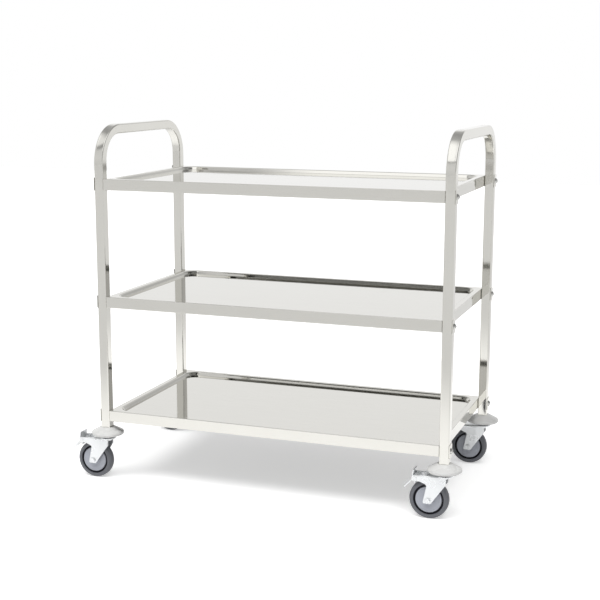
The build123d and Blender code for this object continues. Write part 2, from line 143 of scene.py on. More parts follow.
def mesh_of(name, grids, sides=None):
    """One mesh from point grids in millimetres, with its lengths as a UV map.

    Where sides are given, each grid's faces take the finish of that number.
    """
    starts = np.cumsum([0] + [g.shape[0] * g.shape[1] for g in grids])
    points = np.concatenate([g.reshape(-1, 3) for g in grids]) * MM
    faces = np.concatenate([squares(*g.shape[:2]) + n for g, n in zip(grids, starts)])
    mesh = bpy.data.meshes.new(name)
    mesh.from_pydata(points.tolist(), [], faces.tolist())
    pattern = np.concatenate([lengths(g) for g in grids])
    mesh.uv_layers.new(name="lengths").data.foreach_set("uv", pattern[faces.ravel()].ravel())
    if sides is not None:
        counts = [(g.shape[0] - 1) * (g.shape[1] - 1) for g in grids]
        mesh.polygons.foreach_set("material_index", np.repeat(sides, counts).astype(np.int32))
    weld(mesh)
    return mesh


def piece(name, mesh, finishes, body, nodes):
    """A finished piece that rides on a body and stands for some nodes."""
    mesh.shade_smooth()
    mesh.set_sharp_from_angle(angle=math.radians(CREASE))
    for finish in finishes:
        mesh.materials.append(finish)
    made = bpy.data.objects.new(name, mesh)
    bpy.context.scene.collection.objects.link(made)
    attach(made, body)
    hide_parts(*nodes)
    print(name, "has", len(mesh.polygons), "faces")
    return made


# %% [markdown]
# ## Lines with rounded corners
# Sheet and tube have no sharp corners: a fold is an arc between two flats. One helper draws such a
# line from its corner points. Beside each arc it also sets a point a little way out on the flat,
# which holds the flat's shading flat right up to the fold.


# %% Rounded lines and turned grids
HOLD = 0.4
FULL_TURN = 2 * math.pi


def rounded(corners, radii, steps=8):
    """A line through corners, with an arc of the given radius in each inner one; 0 keeps the point.

    The arc touches both sides r / tan(h) from the corner, where h is half the corner's angle, and
    its points are centre + (sin((1 - k) w) s + sin(k w) e) / sin(w): s and e run from the centre
    to the arc's ends, w is the turn and k goes from 0 to 1.
    """
    corners = np.asarray(corners, float)
    radii = np.broadcast_to(np.asarray(radii, float), (len(corners) - 2,))
    k = np.linspace(0, 1, steps + 1)[:, None]
    line = [corners[:1]]
    for before, corner, after, radius in zip(corners, corners[1:], corners[2:], radii):
        if radius == 0:
            line.append(corner[None])
            continue
        back = (before - corner) / np.linalg.norm(before - corner)
        ahead = (after - corner) / np.linalg.norm(after - corner)
        half = math.acos(np.clip(back @ ahead, -1, 1)) / 2
        centre = corner + (back + ahead) / np.linalg.norm(back + ahead) * radius / math.sin(half)
        reach = radius / math.tan(half)
        start, end = corner + back * reach - centre, corner + ahead * reach - centre
        turn = math.pi - 2 * half
        arc = (np.sin((1 - k) * turn) * start + np.sin(k * turn) * end) / math.sin(turn)
        hold = reach + HOLD
        line += [corner[None] + back * hold, centre + arc, corner[None] + ahead * hold]
    line.append(corners[-1:])
    return np.concatenate(line)


def turned(radii, heights, count=72, sides=None):
    """Grid of a turned shape: rows follow the profile, columns go round the axis on Z.

    A row whose entry in sides is true goes round as a hexagon: its radius is
    r cos(30) / cos(a - 30), with the angle a taken within each sixth of the turn.
    """
    angle = np.linspace(0, FULL_TURN, count + 1)
    sixth = np.mod(angle, math.pi / 3) - math.pi / 6
    flat = math.cos(math.pi / 6) / np.cos(sixth)
    shape = np.ones((len(radii), len(angle)))
    if sides is not None:
        shape = np.where(np.asarray(sides, bool)[:, None], flat[None], shape)
    reach = np.asarray(radii, float)[:, None] * shape
    height = np.broadcast_to(np.asarray(heights, float)[:, None], reach.shape)
    return np.stack([reach * np.cos(angle), reach * np.sin(angle), height], axis=-1)


def along_y(grid):
    """The same shape with its axis laid along Y, its top towards the front."""
    return np.stack([grid[..., 0], -grid[..., 2], grid[..., 1]], axis=-1)


print("helpers ready, hold points at", HOLD, "mm")

# %% [markdown]
# ## Finishes
# Each finish is a small node tree. The plain values sit on the shader's own sockets; only what
# varies over the surface comes from textures. Metal needs very little: a clean polish shows up as
# faint drawing lines, slow waves in the sheet and a haze of wiping marks, not as colour.


# %% Node helpers
def new_finish(name, colour, metallic, roughness):
    """A material with its plain values set on the shader."""
    finish = bpy.data.materials.new(name)
    finish.use_nodes = True
    shader = finish.node_tree.nodes["Principled BSDF"]
    shader.inputs["Base Color"].default_value = (*colour, 1.0)
    shader.inputs["Metallic"].default_value = metallic
    shader.inputs["Roughness"].default_value = roughness
    return finish, finish.node_tree, shader


def node(tree, kind, values=None, **settings):
    """A new node with its settings, and each input either linked or set."""
    made = tree.nodes.new(kind)
    for name, value in settings.items():
        setattr(made, name, value)
    for name, value in (values or {}).items():
        if isinstance(value, bpy.types.NodeSocket):
            tree.links.new(value, made.inputs[name])
        else:
            made.inputs[name].default_value = value
    return made


def maths(tree, operation, *values):
    """The result of one sum on values or sockets."""
    return node(tree, "ShaderNodeMath", dict(enumerate(values)), operation=operation).outputs[0]


def fade(tree, value, start, end, low=0.0, high=1.0, kind="SMOOTHSTEP"):
    """A value that goes from low to high as another goes from start to end."""
    values = {"Value": value, "From Min": start, "From Max": end, "To Min": low, "To Max": high}
    return node(tree, "ShaderNodeMapRange", values, interpolation_type=kind).outputs[0]


def noise(tree, where, scale, detail=3.0, stretch=(1, 1, 1)):
    """Noise on a stretched copy of some coordinates, from 0 to 1."""
    spread = node(tree, "ShaderNodeMapping", {"Vector": where, "Scale": stretch}).outputs[0]
    values = {"Vector": spread, "Scale": scale, "Detail": detail}
    return node(tree, "ShaderNodeTexNoise", values).outputs["Fac"]


def between(tree, factor, low, high):
    """A value that goes from low to high over the middle half of a noise."""
    return fade(tree, factor, 0.25, 0.75, low, high, "LINEAR")


def tint(tree, factor, dark, pale):
    """A colour between two, by a factor."""
    mix = node(tree, "ShaderNodeMix", {"Factor": factor}, data_type="RGBA")
    mix.inputs[6].default_value, mix.inputs[7].default_value = (*dark, 1), (*pale, 1)
    return mix.outputs[2]


def bump(tree, height, distance, under=None):
    """A bump of a height in metres, laid over another one if given."""
    values = {"Height": height, "Distance": distance, "Strength": 1.0}
    if under is not None:
        values["Normal"] = under
    return node(tree, "ShaderNodeBump", values).outputs[0]


def object_space(tree):
    """The piece's own coordinates, in metres."""
    return node(tree, "ShaderNodeTexCoord").outputs["Object"]


# %% [markdown]
# ## Steel
# The tubes are drawn and then polished, so their faint lines run along the tube. The sheets are mirror
# finished and not quite flat, which bends what they reflect. The castor steel is zinc plated: partly
# bright metal, partly a pale matt skin, so it stays light where a bare mirror would go dark.

# %% Polished metals
STEEL_DARK, STEEL_PALE = (0.675, 0.665, 0.625), (0.715, 0.705, 0.665)
SHEET_DARK, SHEET_PALE = (0.655, 0.645, 0.607), (0.694, 0.684, 0.646)
TUBE_SHINE, SHEET_SHINE = (0.045, 0.085), (0.035, 0.085)
DRAWN_LINES, LINE_HEIGHT = (6, 2600, 1), 0.000003
HAZE, WIPE_MARKS = 9.0, (14, 90, 40)
TUBE_WAVES, SHEET_WAVES, WAVE_HEIGHT = 5.0, 3.0, 0.0006
BEND_DULL, BEND_CORE = 0.08, 0.6
PATCHES, PITS, PIT_HEIGHT = 35.0, 1800.0, 0.0000004


def polished_tube(bends, reach):
    """Bright-drawn square tube: faint lines along it under a high polish, duller where it is bent.

    The bends lie at some distances along the tube, and the duller polish fades out at the reach
    to either side of each.
    """
    finish, tree, shader = new_finish("polished_tube", STEEL_PALE, 1.0, 0.06)
    along = node(tree, "ShaderNodeUVMap", uv_map="lengths").outputs[0]
    lines = noise(tree, along, 1.0, 2.0, DRAWN_LINES)
    haze = noise(tree, object_space(tree), HAZE)
    waves = noise(tree, object_space(tree), TUBE_WAVES, 1.0)
    links = tree.links
    links.new(tint(tree, haze, STEEL_DARK, STEEL_PALE), shader.inputs["Base Color"])
    rough = between(tree, haze, *TUBE_SHINE)
    run = node(tree, "ShaderNodeSeparateXYZ", {0: along}).outputs[0]
    for bend in bends:
        off = maths(tree, "ABSOLUTE", maths(tree, "SUBTRACT", run, bend))
        rough = maths(tree, "ADD", rough, fade(tree, off, reach, BEND_CORE * reach, 0.0, BEND_DULL))
    links.new(rough, shader.inputs["Roughness"])
    slow = bump(tree, waves, WAVE_HEIGHT)
    links.new(bump(tree, lines, LINE_HEIGHT, slow), shader.inputs["Normal"])
    return finish


def mirror_sheet():
    """Mirror-finished sheet: slow waves that bend reflections, and fine wiping marks."""
    finish, tree, shader = new_finish("mirror_sheet", SHEET_PALE, 1.0, 0.08)
    own = object_space(tree)
    waves = noise(tree, own, SHEET_WAVES, 1.0)
    wipes = noise(tree, own, 1.0, 4.0, WIPE_MARKS)
    links = tree.links
    links.new(tint(tree, wipes, SHEET_DARK, SHEET_PALE), shader.inputs["Base Color"])
    links.new(between(tree, wipes, *SHEET_SHINE), shader.inputs["Roughness"])
    links.new(bump(tree, waves, WAVE_HEIGHT), shader.inputs["Normal"])
    return finish


def plain_steel(name, dark, pale, smooth, rough, metallic=1.0):
    """Turned, pressed or plated steel: a grain of tiny pits and a slightly uneven shine."""
    finish, tree, shader = new_finish(name, pale, metallic, (smooth + rough) / 2)
    own = object_space(tree)
    patches = noise(tree, own, PATCHES, 1.0)
    pits = noise(tree, own, PITS, 2.0)
    links = tree.links
    links.new(tint(tree, patches, dark, pale), shader.inputs["Base Color"])
    links.new(between(tree, patches, smooth, rough), shader.inputs["Roughness"])
    links.new(bump(tree, pits, PIT_HEIGHT), shader.inputs["Normal"])
    return finish


# %% [markdown]
# ## Mouldings
# Bumpers, hub discs and tyres come out of moulds with a fine grain. A flat colour looks like paint, so
# the colour and the shine drift slowly over each piece, by little enough that the eye reads one colour.

# %% Plastics and rubber
DRIFT = 25.0


def moulded(name, dark, pale, smooth, rough, grain, depth, gloss=0.5):
    """Moulded plastic or rubber: a fine grain, slow colour drift and an uneven shine."""
    finish, tree, shader = new_finish(name, pale, 0.0, (smooth + rough) / 2)
    shader.inputs["Specular IOR Level"].default_value = gloss
    own = object_space(tree)
    drift = noise(tree, own, DRIFT)
    texture = noise(tree, own, grain, 2.0)
    links = tree.links
    links.new(tint(tree, drift, dark, pale), shader.inputs["Base Color"])
    links.new(between(tree, drift, smooth, rough), shader.inputs["Roughness"])
    links.new(bump(tree, texture, depth), shader.inputs["Normal"])
    return finish


FINISHES = {
    "polished_stainless": mirror_sheet(),
    "stainless_fixings": plain_steel("fixing_steel", (0.50, 0.50, 0.48), (0.62, 0.62, 0.60), 0.16, 0.30),
    "zinc_steel": plain_steel("bright_zinc", (0.76, 0.775, 0.785), (0.80, 0.815, 0.825), 0.25, 0.32, 0.7),
    "bearing_steel": plain_steel("ball_steel", (0.55, 0.55, 0.55), (0.66, 0.66, 0.66), 0.08, 0.16),
    "bumper_plastic": moulded("bumper_plastic", (0.655, 0.655, 0.645), (0.715, 0.715, 0.702),
                              0.22, 0.34, 900, 0.00002),
    "cover_plastic": moulded("cover_plastic", (0.390, 0.406, 0.452), (0.437, 0.454, 0.504),
                             0.38, 0.50, 1500, 0.00003),
    "core_plastic": moulded("core_plastic", (0.006, 0.006, 0.009), (0.012, 0.012, 0.016),
                            0.50, 0.65, 1500, 0.00003, 0.12),
    "bush_plastic": moulded("bush_plastic", (0.56, 0.55, 0.50), (0.62, 0.61, 0.56),
                            0.35, 0.45, 1500, 0.00002),
    "tyre_rubber": moulded("tyre_rubber", (0.120, 0.124, 0.138), (0.155, 0.160, 0.175),
                           0.55, 0.70, 1200, 0.00006),
}
# The shelves' under skin: a duller, unpolished sheet (its roughness), with a colour far darker than the
# steel above it, painted shade for the shade under each shelf.
DULL_SHADED_UNDERSIDE = plain_steel("underside_painted_shade", (0.18, 0.18, 0.172), (0.23, 0.23, 0.22), 0.26, 0.38)
for row in frame["record"]["subparts"]:
    cad_mesh = frame["nodes"][row["node"]].data
    cad_mesh.materials.clear()
    cad_mesh.materials.append(FINISHES[row["material_slot"]])
print("finishes:", len(FINISHES))

# %% [markdown]
# ## The end frames
# Each end is one square tube bent twice. When such a tube is bent, its outer wall is pulled in and
# sinks a little in the middle, so the outside of the bend is flatter than the inside. A bevelled
# curve can't do that. Here the section is carried on two rails, one along the inner wall and one
# along the outer wall, and the outer rail has the wider bends.

# %% End frames
INNER_BEND, OUTER_BEND = 69.0, 102.0
TUBE_CORNER, TUBE_WALL = 3.0, 1.2
WALL_SINK, SINK_POWER = 1.3, 6
WALL_RIPPLE, RIPPLES = 0.22, 18
BEND_STEPS, SECTION_STEPS = 28, 5


def bend_angle():
    """Angles from 0 to 90 degrees, closer together at both ends of a bend."""
    return math.pi / 4 * (1 - np.cos(np.linspace(0, math.pi, BEND_STEPS + 1)))


def bent_rail(outset, bend):
    """Y and Z of one wall of the tube: up the front leg, over two bends, down the back leg.

    With c the middle of the bend, its points are c + bend (-cos p, sin p) for p from 0 to 90 degrees.
    """
    side, top = LEG_Y + outset, HANDLE_TOP - HALF_TUBE + outset
    mid_y, mid_z = bend - side, top - bend
    turn = bend_angle()
    y = np.concatenate([[-side, -side, -side], mid_y - bend * np.cos(turn), [mid_y + HOLD]])
    z = np.concatenate([[LEG_FOOT, LEG_FOOT + HOLD, mid_z - HOLD], mid_z + bend * np.sin(turn), [top]])
    half = np.stack([y, z], axis=-1)
    return np.concatenate([half, half[::-1] * [-1, 1]])


def tube_section():
    """Across and outward place of the points round the section, from the middle of its outer wall."""
    h, inner_point = HALF_TUBE, HALF_TUBE / 2
    corners = [(0, h), (inner_point, h), (h, h), (h, -h), (-h, -h), (-h, h), (-inner_point, h), (0, h)]
    return rounded(corners, [0, TUBE_CORNER, TUBE_CORNER, TUBE_CORNER, TUBE_CORNER, 0], SECTION_STEPS)


def bent_tube(middle_x):
    """Inner rail (1 - b) + outer rail b, where b goes from 0 at the inner wall to 1 at the outer one.

    In the bends b is less by (sink + ripple sin(18 p)) sin^2(2 p) (1 - (across / half)^2) b^6 / tube,
    which hollows the outer wall and leaves the faint waves of the bending shoe in it.
    """
    inner, outer = bent_rail(-HALF_TUBE, INNER_BEND), bent_rail(HALF_TUBE, OUTER_BEND)
    across, outward = tube_section().T
    turn = bend_angle()
    hollow = (WALL_SINK + WALL_RIPPLE * np.sin(RIPPLES * turn)) * np.sin(2 * turn) ** 2 / TUBE
    half = np.concatenate([[0, 0, 0], hollow, [0]])
    sink = np.concatenate([half, half[::-1]])[:, None]
    b = (outward + HALF_TUBE) / TUBE
    b = b - sink * (1 - (across / HALF_TUBE) ** 2) * b ** SINK_POWER
    yz = inner[:, None] * (1 - b[..., None]) + outer[:, None] * b[..., None]
    x = np.broadcast_to(middle_x + across, b.shape)
    return np.concatenate([x[..., None], yz], axis=-1)


BEND_ARC = math.pi / 4 * (INNER_BEND + OUTER_BEND)
LEG_RUN = HANDLE_TOP - LEG_FOOT - (INNER_BEND + OUTER_BEND + TUBE) / 2
BAR_RUN = 2 * LEG_Y - INNER_BEND - OUTER_BEND
BEND_PLACES = [(LEG_RUN + BEND_ARC / 2) * MM, (LEG_RUN + BEND_ARC * 1.5 + BAR_RUN) * MM]
TUBE_FINISH = polished_tube(BEND_PLACES, BEND_ARC * MM)
for name in END_FRAMES:
    low, high = box_mm(name)
    tube = piece(name + "_tube", mesh_of(name + "_tube", [bent_tube((low[0] + high[0]) / 2)]),
                 [TUBE_FINISH], "trolley_frame", [name])
    wall = tube.modifiers.new("tube_wall", "SOLIDIFY")
    wall.thickness, wall.offset = TUBE_WALL * MM, -1.0

# %% [markdown]
# ## The shelves
# A shelf is one sheet: a tray floor, a low sloping wall, a flat border, a fold down into the rim and
# a lip turned in below. Cut across, that is one line. Carried round a rounded rectangle it makes the
# whole sheet, upper and under skin at once, and the corner radius changes with the distance from
# the edge: small at the rim, large at the tray.

# %% Shelves
RIM_BORDER, RIM_FOLD, RIM_CORNER = 16.0, 1.2, 1.5
TRAY_CORNER, TRAY_DEPTH, TRAY_SLOPE, TRAY_FOOT, TRAY_EDGE = 36.0, 9.0, 3.85, 1.2, 4.5
SHEET, LIP, TIGHT_CORNER = 1.0, 10.0, 0.6
FLOOR_FROM, FLOOR_RINGS = 30.0, 9
ARC_POINTS, SIDE_POINTS = 10, 12


def rounded_rectangle(half_x, half_y, corner):
    """Rows of points round rectangles: corner k is its centre + corner (cos a, sin a), a in quarter k."""
    quarter = np.linspace(0, math.pi / 2, ARC_POINTS + 1)
    angle = quarter + np.arange(4)[:, None] * math.pi / 2
    sign = np.array([[1, 1], [-1, 1], [-1, -1], [1, -1]])
    half = np.stack([half_x, half_y], axis=-1)[:, None]
    centre = sign * (half - corner[:, None, None])
    around = np.stack([np.cos(angle), np.sin(angle)], axis=-1)
    arcs = centre[:, :, None] + corner[:, None, None, None] * around
    k = np.linspace(0, 1, SIDE_POINTS + 1)[1:-1, None]
    sides = arcs[:, :, -1:] * (1 - k) + np.roll(arcs, -1, axis=1)[:, :, :1] * k
    ring = np.concatenate([arcs, sides], axis=2).reshape(len(half_x), -1, 2)
    return np.concatenate([ring, ring[:, :1]], axis=1)


def sheet_line(rim, low):
    """Inset and height of the sheet's cut, over the tray, round the rim and back under the tray."""
    floor = rim - TRAY_DEPTH
    foot = RIM_BORDER + TRAY_SLOPE
    over = rounded([(FLOOR_FROM, floor), (foot, floor), (RIM_BORDER, rim), (0, rim), (0, low), (LIP, low)],
                   [TRAY_FOOT, TRAY_EDGE, RIM_FOLD, RIM_FOLD])
    inner_fold = RIM_FOLD - SHEET
    under = rounded([(LIP, low + SHEET), (SHEET, low + SHEET), (SHEET, rim - SHEET),
                     (RIM_BORDER - SHEET / 2, rim - SHEET), (foot - SHEET / 2, floor - SHEET),
                     (FLOOR_FROM, floor - SHEET)],
                    [inner_fold, inner_fold, TRAY_EDGE, TRAY_FOOT])
    return over, np.concatenate([over[-1:], under])


def folded_sheet(low, high):
    """Upper and under skin: the cut carried round the shelf, its floor shrunk ring by ring to a point."""
    over, under = sheet_line(high[2], low[2])
    return [skin(over, low, high, False), skin(under, low, high, True)]


def skin(line, low, high, flip):
    """One skin; near the edge its corners are tight, near the tray they have the tray's radius."""
    inset, height = line.T
    border = np.interp(inset, [0, RIM_FOLD, RIM_BORDER, FLOOR_FROM],
                       [RIM_CORNER, TIGHT_CORNER, TRAY_CORNER, TRAY_CORNER - FLOOR_FROM + RIM_BORDER])
    lip = np.maximum(RIM_CORNER - inset, TIGHT_CORNER)
    corner = np.where(height < (low[2] + high[2]) / 2, lip, border)
    half_x, half_y = (high[0] - low[0]) / 2 - inset, (high[1] - low[1]) / 2 - inset
    ring = rounded_rectangle(half_x, half_y, corner)
    grid = np.concatenate([ring, np.broadcast_to(height[:, None, None], (*ring.shape[:2], 1))], axis=-1)
    shrink = np.linspace(0, 1, FLOOR_RINGS)[:, None, None] * [1, 1, 0] + [0, 0, 1]
    if flip:
        grid = np.concatenate([grid, (grid[-1] * shrink[::-1])[1:]])
    else:
        grid = np.concatenate([(grid[0] * shrink)[:-1], grid])
    return grid + [(low[0] + high[0]) / 2, (low[1] + high[1]) / 2, 0]


# Side 1, the under skin, takes the darker underside finish: painted shade.
for name in SHELVES:
    piece(name + "_sheet", mesh_of(name + "_sheet", folded_sheet(*box_mm(name + "_rim")), [0, 1]),
          [FINISHES["polished_stainless"], DULL_SHADED_UNDERSIDE], "trolley_frame", [name + "_tray", name + "_rim"])

# %% [markdown]
# ## Bolts and plates
# At each leg and shelf a dome-headed bolt pulls a thin plate against the tube. All twelve are alike,
# so one grid is made and copied by adding twelve places to it at once. The bolt is a turned shape
# whose socket rows go round as a hexagon.

# %% Shelf fixings
HEAD_RADIUS, HEAD_HEIGHT = 7.5, 5.5
SOCKET, SOCKET_DEPTH, SOCKET_EDGE = 2.9, 2.5, 0.35
HEAD_EASE, HEAD_SIDE, SOCKET_LAND, SOCKET_BED = 0.4, 0.2, 0.4, 0.2
DOME_FOOT, DOME_ROWS, SOCKET_ROWS, BOLT_TURNS = 0.15, 12, 5, 48
SHANK_RADIUS, SHANK_LENGTH, SHANK_EASE = 4.0, 34.5, 1.0
PLATE_THICK, PLATE_HEIGHT, PLATE_CORNER = 2.0, 34.0, 3.0
PLATE_EDGE, PLATE_ROUND = 0.6, 0.15


def bolt_grid():
    """Shank, dome and socket in one turned profile; the dome is sqrt(R^2 - r^2) - (R - h)."""
    ball = (HEAD_HEIGHT ** 2 + HEAD_RADIUS ** 2) / (2 * HEAD_HEIGHT)
    dome_r = np.linspace(HEAD_RADIUS - DOME_FOOT, SOCKET + SOCKET_EDGE + SOCKET_LAND, DOME_ROWS)
    dome_h = np.sqrt(ball ** 2 - dome_r ** 2) - (ball - HEAD_HEIGHT)
    top = np.sqrt(ball ** 2 - SOCKET ** 2) - (ball - HEAD_HEIGHT)
    bed = HEAD_HEIGHT - SOCKET_DEPTH
    radii = [0, SHANK_RADIUS - SHANK_EASE, SHANK_RADIUS, SHANK_RADIUS, HEAD_RADIUS - HEAD_EASE,
             HEAD_RADIUS, *dome_r, SOCKET + SOCKET_EDGE, SOCKET, SOCKET, SOCKET - SOCKET_BED, 0]
    heights = np.array([-SHANK_LENGTH, -SHANK_LENGTH, SHANK_EASE - SHANK_LENGTH, 0, 0,
                        HEAD_SIDE, *dome_h, top, top - SOCKET_EDGE, bed + SOCKET_BED, bed, bed])
    hexagon = np.arange(len(radii)) >= len(radii) - SOCKET_ROWS
    hexagon[-1] = False
    return turned(radii, heights + PLATE_THICK * (heights >= 0), BOLT_TURNS, hexagon)


def plate_grid():
    """Flat plate with a small round on its outer edge, from its back to its face."""
    inset = np.array([HALF_TUBE, 0, 0, PLATE_ROUND, PLATE_EDGE, PLATE_EDGE + HOLD, HALF_TUBE])
    sunk = np.array([PLATE_THICK, PLATE_THICK, PLATE_EDGE, PLATE_ROUND, 0, 0, 0])
    height = PLATE_THICK - sunk
    half_x, half_y = PLATE_HEIGHT / 2 - inset, HALF_TUBE - inset
    ring = rounded_rectangle(half_x, half_y, np.clip(PLATE_CORNER - inset, 0, None))
    return np.concatenate([ring, np.broadcast_to(height[:, None, None], (*ring.shape[:2], 1))], axis=-1)


def fixing_places():
    """Outward direction along X, and the spot on the leg's outer face, of all twelve fixings."""
    signs, spots = [], []
    for sign, name in zip((-1, 1), END_FRAMES):
        face = box_mm(name)[0 if sign < 0 else 1][0]
        for shelf in SHELVES:
            low, high = box_mm(shelf + "_rim")
            spots += [(face, y, (low[2] + high[2]) / 2) for y in (-LEG_Y, LEG_Y)]
            signs += [sign, sign]
    return np.array(signs, float), np.array(spots)


def at_fixings(grid):
    """Copies of a grid at every fixing, its own Z pointing out from the leg and its X upright."""
    signs, spots = fixing_places()
    out = grid[..., 2] * signs[:, None, None]
    across, up = np.broadcast_to(grid[..., 1], out.shape), np.broadcast_to(grid[..., 0], out.shape)
    local = np.stack([out, across, up], axis=-1)
    return list(local + spots[:, None, None])


piece("shelf_bolt_heads", mesh_of("shelf_bolt_heads", at_fixings(bolt_grid())),
      [FINISHES["stainless_fixings"]], "trolley_frame", ["shelf_bolts"])
piece("saddle_plate_faces", mesh_of("saddle_plate_faces", at_fixings(plate_grid())),
      [TUBE_FINISH], "trolley_frame", ["saddle_plates"])

# %% [markdown]
# ## Bumpers
# A bumper disc is a moulding with a gently crowned top that falls from the leg to a rounded brim.
# It is a profile of radius and height turned about the castor's upright axis.

# %% Bumper discs
BUMPER_BORE, BUMPER_BOSS, BUMPER_RIM, BUMPER_TURNS = 6.2, 19.0, 8.5, 96
KNEE_INSET, KNEE_RISE, BRIM_DROP = 9.0, 3.6, 1.0
BOSS_ROUND, KNEE_ROUND, BRIM_ROUND = 6.0, 12.0, 3.2


def bumper_grid(low, high):
    """The profile turned about the middle of the bumper's own box."""
    radius = (high[0] - low[0]) / 2
    brim = low[2] + BUMPER_RIM
    line = rounded([(BUMPER_BORE, high[2]), (BUMPER_BOSS, high[2]), (radius - KNEE_INSET, brim + KNEE_RISE),
                    (radius, brim - BRIM_DROP), (radius, low[2]), (BUMPER_BORE, low[2]),
                    (BUMPER_BORE, high[2])],
                   [BOSS_ROUND, KNEE_ROUND, BRIM_ROUND, BRIM_ROUND, 0])
    return turned(line[:, 0], line[:, 1], BUMPER_TURNS) + [*((low + high) / 2)[:2], 0]


for corner in CORNERS:
    disc = bumper_grid(*box_mm(corner + "_bumper"))
    piece(corner + "_bumper_disc", mesh_of(corner + "_bumper_disc", [disc]),
          [FINISHES["bumper_plastic"]], "trolley_frame", [corner + "_bumper"])

# %% [markdown]
# ## Wheels
# The tyre has a narrow flat tread and wide round shoulders, and slopes in towards the rim on its side.
# A pale disc covers the hub on each side, with a thin bead near its edge, and the black rim lies deeper
# between the two. All are turned shapes laid along the axle.

# %% Tyres and hub discs
WHEEL_TURNS = 112
COVER_EASE, COVER_BACK, COVER_DISH = 0.9, 2.5, 17.0
COLLAR, COLLAR_BORE, CAP_BORE, CAP_GAP, CAP_THICK = 13.25, 12.2, 9.2, 0.05, 0.4
COLLAR_DROP, DISH_DROP, BEAD_DROP = 0.6, 0.9, 0.5
BEAD_INSIDE, BEAD_TOP, BEAD_OUTSIDE, BEAD_EDGE = 5.0, 4.0, 1.6, 1.2
SKIRT, SKIRT_FOOT = 2.5, 3.5
COVER_ROUNDS, COVER_STEPS = (0, 0, 0, 0.3, 0.6, 3, 1.5, 0.4, 0.4, 0.5, 0.3, 0.3, 0.5), 4
TYRE_THICK, TYRE_STEP = 10.95, 1.0
TYRE_ROUNDS = (0.5, 0.4, 8.6)


def tyre_grid(low, high):
    """Half of the tyre's outline, mirrored to the other side and turned about the axle."""
    outer, half = (high[2] - low[2]) / 2, (high[1] - low[1]) / 2
    inner = outer - TYRE_THICK
    side = rounded([(inner, 0), (inner, half - TYRE_STEP), (inner + TYRE_STEP, half), (outer, half),
                    (outer, 0)], TYRE_ROUNDS)
    line = np.concatenate([side, (side * [1, -1])[::-1]])
    return along_y(turned(line[:, 0], line[:, 1], WHEEL_TURNS)) + (low + high) / 2


def cover_grids(low, high, hub):
    """Front and back disc: a collar with a cap over the hub's end, a dished face, a bead and a skirt."""
    outer, face = (high[2] - low[2]) / 2 - COVER_EASE, (high[1] - low[1]) / 2
    cap, back = hub + CAP_GAP, face - COVER_BACK
    line = rounded([(COLLAR_BORE, back), (COLLAR_BORE, cap), (CAP_BORE, cap), (CAP_BORE, cap + CAP_THICK),
                    (COLLAR, cap + CAP_THICK), (COLLAR, face - COLLAR_DROP), (COVER_DISH, face - DISH_DROP),
                    (outer - BEAD_INSIDE, face - BEAD_DROP), (outer - BEAD_TOP, face),
                    (outer - BEAD_OUTSIDE, face),
                    (outer, face - BEAD_EDGE), (outer, SKIRT_FOOT), (outer - SKIRT, SKIRT_FOOT),
                    (outer - SKIRT, back), (COLLAR_BORE, back)], COVER_ROUNDS, COVER_STEPS)
    disc = turned(line[:, 0], line[:, 1], WHEEL_TURNS)
    return [along_y(disc) + (low + high) / 2, along_y(disc * [1, 1, -1]) + (low + high) / 2]


for corner in CORNERS:
    wheel = corner + "_wheel"
    piece(corner + "_tyre_ring", mesh_of(corner + "_tyre_ring", [tyre_grid(*box_mm(corner + "_tyre"))]),
          [FINISHES["tyre_rubber"]], wheel, [corner + "_tyre"])
    core_low, core_high = box_mm(corner + "_wheel_core")
    discs = cover_grids(*box_mm(corner + "_hub_covers"), (core_high[1] - core_low[1]) / 2)
    piece(corner + "_hub_discs", mesh_of(corner + "_hub_discs", discs),
          [FINISHES["cover_plastic"]], wheel, [corner + "_hub_covers"])

# %% [markdown]
# ## Pressed and turned pieces
# Forks, pedals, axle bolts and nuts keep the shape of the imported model, but real pressed steel has no
# knife edges: its edges catch the light as thin bright lines. A welded copy of the node's own mesh
# with a narrow bevel gives that, and nothing else about the piece changes.

# %% Soft edges
PRESSED_EDGE, TURNED_EDGE, EDGE_ROWS = 0.5, 0.35, 2
NODE_WELD, FLAT_ANGLE, EDGE_ANGLE = 2e-6, math.radians(0.5), math.radians(30)


def softened(name, body, width):
    """A copy of a node's mesh with its coinciding points welded and its sharp edges rounded."""
    mesh = frame["nodes"][name].data.copy()
    mesh.name = name + "_soft"
    shell = bmesh.new()
    shell.from_mesh(mesh)
    bmesh.ops.remove_doubles(shell, verts=shell.verts, dist=NODE_WELD)
    bmesh.ops.dissolve_limit(shell, angle_limit=FLAT_ANGLE, verts=shell.verts, edges=shell.edges)
    shell.to_mesh(mesh)
    shell.free()
    made = piece(name + "_soft", mesh, [], body, [name])
    edge = made.modifiers.new("soft_edges", "BEVEL")
    edge.width, edge.segments, edge.limit_method = width * MM, EDGE_ROWS, "ANGLE"
    edge.angle_limit, edge.harden_normals = EDGE_ANGLE, True


for corner in CORNERS:
    softened(corner + "_fork", corner + "_swivel", PRESSED_EDGE)
    softened(corner + "_axle_bolt", corner + "_swivel", TURNED_EDGE)
    softened(corner + "_axle_nut", corner + "_swivel", TURNED_EDGE)
for corner in CORNERS[:2]:
    softened(corner + "_brake_pedal", corner + "_brake", PRESSED_EDGE)

# %% [markdown]
# ## Floor, light and backdrop
# The trolley stands on a white sweep. The floor is an ordinary pale surface, so it keeps the shadow;
# its colour is paler near the trolley and greyer far off, a painted pool of light. For the eye and for
# mirrors it also glows a little, and far from the trolley it glows more for the eye, so that it runs into
# the white backdrop without a horizon.

# %% Studio floor
FLOOR_HALF = 9.0
